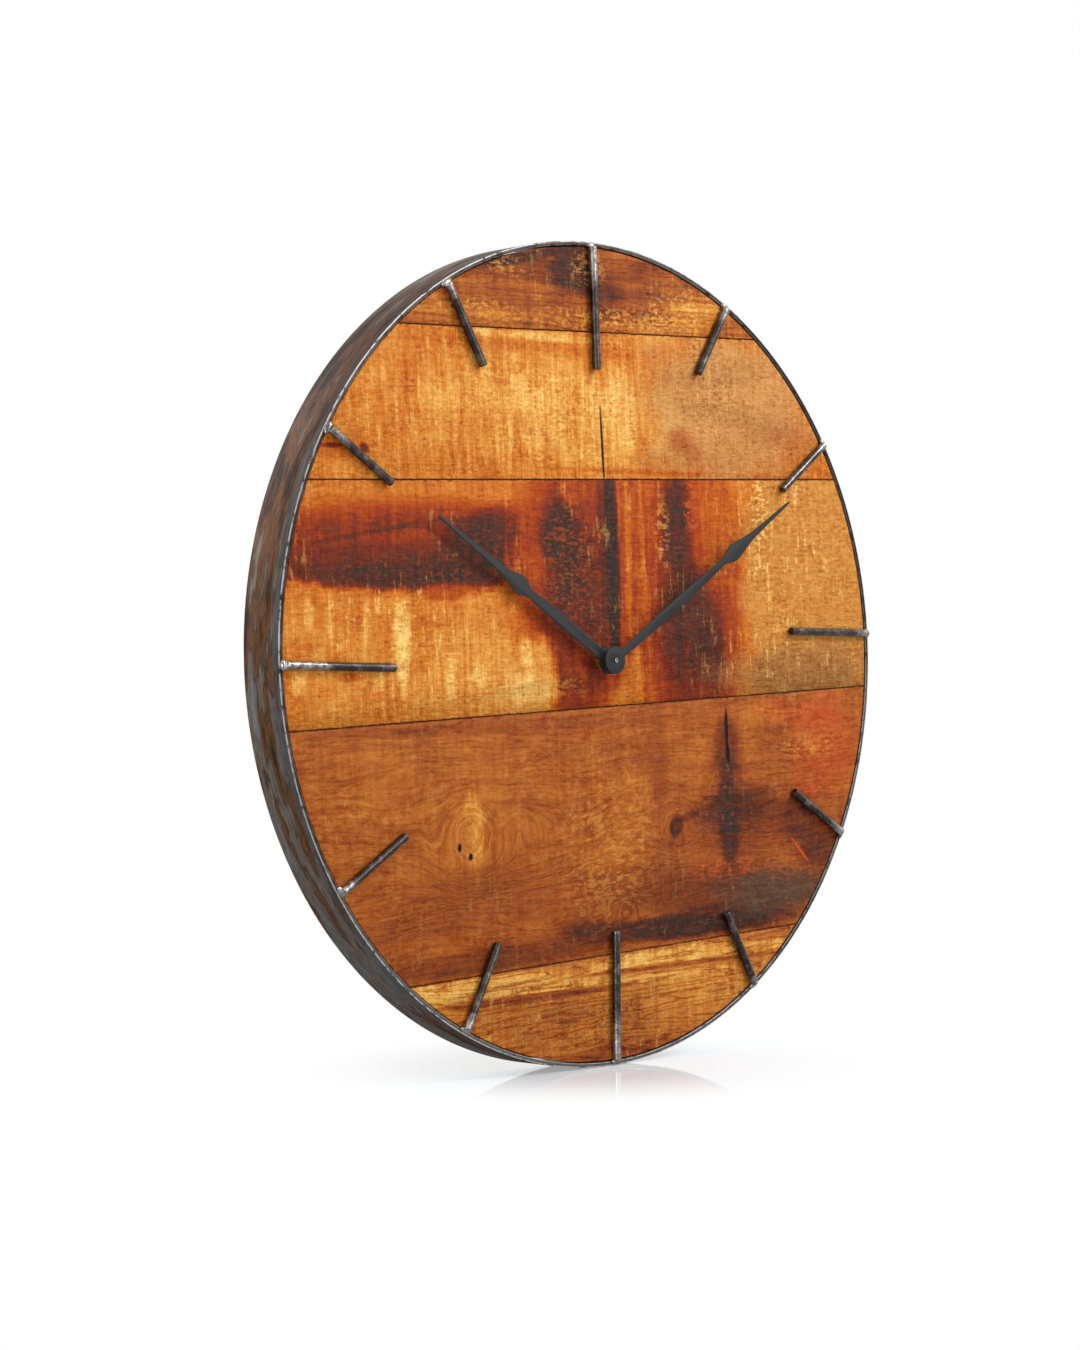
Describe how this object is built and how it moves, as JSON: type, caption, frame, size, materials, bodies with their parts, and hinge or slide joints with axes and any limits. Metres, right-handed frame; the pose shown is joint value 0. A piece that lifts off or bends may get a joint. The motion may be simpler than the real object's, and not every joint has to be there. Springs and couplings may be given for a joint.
{
  "type": "wall clock",
  "caption": "Round wall clock of reclaimed teak planks in a welded steel hoop, with round steel hour bars, two hands and a battery movement.",
  "frame": {"origin": "centre of the clock's bounding box: on the hoop's axis, halfway between the end of the minute shaft and the hoop's rear edge", "axes": "+Z to 12 o'clock, +X to 3 o'clock as seen from the front, the face looks along -Y and the wall is at +Y"},
  "size_m": [0.6, 0.052, 0.6],
  "materials": {
    "patinated_steel": "hot-rolled flat bar, rusted brown and brushed grey, clear sealed",
    "blackened_steel": "dark mill scale with ground bright ends",
    "teak": "reclaimed planks, rough sawn, stained and oiled",
    "plywood": "raw birch plywood",
    "black_paint": "matt black paint on sheet",
    "steel": "bright zinc-plated",
    "brass": "turned, bright",
    "copper": "enamelled copper winding",
    "acetal": "moulded, natural white",
    "black_plastic": "moulded, fine spark texture",
    "rubber": "matt black",
    "laminate": "green circuit laminate",
    "battery_sleeve": "metal can in a plain dark blue sleeve"
  },
  "bodies": {
    "clock_case": {"backer_board": "plywood", "battery_contact_minus": "steel", "battery_contact_plus": "steel", "brass_washer": "brass", "circuit_board": "laminate", "coil": "copper", "fixing_tab_1": "blackened_steel", "fixing_tab_2": "blackened_steel", "fixing_tab_3": "blackened_steel", "fixing_tab_4": "blackened_steel", "hex_nut": "brass", "hoop": "patinated_steel", "hour_bar_1": "blackened_steel", "hour_bar_10": "blackened_steel", "hour_bar_11": "blackened_steel", "hour_bar_12": "blackened_steel", "hour_bar_2": "blackened_steel", "hour_bar_3": "blackened_steel", "hour_bar_4": "blackened_steel", "hour_bar_5": "blackened_steel", "hour_bar_6": "blackened_steel", "hour_bar_7": "blackened_steel", "hour_bar_8": "blackened_steel", "hour_bar_9": "blackened_steel", "middle_plate": "acetal", "movement_housing": "black_plastic", "plank_1": "teak", "plank_2": "teak", "plank_3": "teak", "plank_4": "teak", "plank_5": "teak", "quartz_crystal": "steel", "rear_cover": "black_plastic", "rubber_washer": "rubber", "stator": "steel", "tab_screw_1": "steel", "tab_screw_2": "steel", "tab_screw_3": "steel", "tab_screw_4": "steel", "threaded_bushing": "brass", "wall_hanger": "blackened_steel"},
    "minute_work": {"minute_shaft": "steel", "minute_hand": "black_paint"},
    "hour_work": {"hour_wheel": "brass", "hour_hand": "black_paint"},
    "motion_wheel": {"minute_wheel": "acetal"},
    "knob": {"setting_knob": "acetal"},
    "rotor_unit": {"rotor": "steel"},
    "intermediate_unit": {"intermediate_wheel": "acetal"},
    "seconds_unit": {"seconds_wheel": "steel"},
    "third_unit": {"third_wheel": "acetal"},
    "centre_unit": {"centre_wheel": "brass"},
    "cell": {"battery": "battery_sleeve"}
  },
  "joints": [
    {"name": "minute_hand_turn", "type": "hinge", "parent": "clock_case", "child": "minute_work", "pos_m": [0, 0, -0.005], "axis": [0, 1, 0], "continuous": true},
    {"name": "hour_hand_turn", "type": "hinge", "parent": "clock_case", "child": "hour_work", "pos_m": [0, 0, -0.005], "axis": [0, 1, 0], "continuous": true},
    {"name": "motion_wheel_turn", "type": "hinge", "parent": "clock_case", "child": "motion_wheel", "pos_m": [-0.00744, 0, -0.00771], "axis": [0, 1, 0], "continuous": true},
    {"name": "knob_turn", "type": "hinge", "parent": "clock_case", "child": "knob", "pos_m": [-0.01488, 0, -0.01042], "axis": [0, 1, 0], "continuous": true},
    {"name": "rotor_turn", "type": "hinge", "parent": "clock_case", "child": "rotor_unit", "pos_m": [-0.00025, 0, 0.0079], "axis": [0, 1, 0], "continuous": true},
    {"name": "intermediate_turn", "type": "hinge", "parent": "clock_case", "child": "intermediate_unit", "pos_m": [-0.00385, 0, 0.00167], "axis": [0, 1, 0], "continuous": true},
    {"name": "seconds_turn", "type": "hinge", "parent": "clock_case", "child": "seconds_unit", "pos_m": [0, 0, -0.005], "axis": [0, 1, 0], "continuous": true},
    {"name": "third_turn", "type": "hinge", "parent": "clock_case", "child": "third_unit", "pos_m": [0.00709, 0, -0.00625], "axis": [0, 1, 0], "continuous": true},
    {"name": "centre_turn", "type": "hinge", "parent": "clock_case", "child": "centre_unit", "pos_m": [0, 0, -0.005], "axis": [0, 1, 0], "continuous": true},
    {"name": "battery_slide", "type": "slide", "parent": "clock_case", "child": "cell", "axis": [0, 1, 0], "range_m": [0, 0.02]}
  ],
  "couplings": [
    {"joint": "hour_hand_turn", "follows": "minute_hand_turn", "ratio": 0.083333},
    {"joint": "motion_wheel_turn", "follows": "minute_hand_turn", "ratio": -0.33333},
    {"joint": "knob_turn", "follows": "minute_hand_turn", "ratio": 1},
    {"joint": "intermediate_turn", "follows": "rotor_turn", "ratio": -0.2},
    {"joint": "seconds_turn", "follows": "rotor_turn", "ratio": 0.033333},
    {"joint": "third_turn", "follows": "rotor_turn", "ratio": -0.0044444},
    {"joint": "centre_turn", "follows": "rotor_turn", "ratio": 0.00055556}
  ]
}
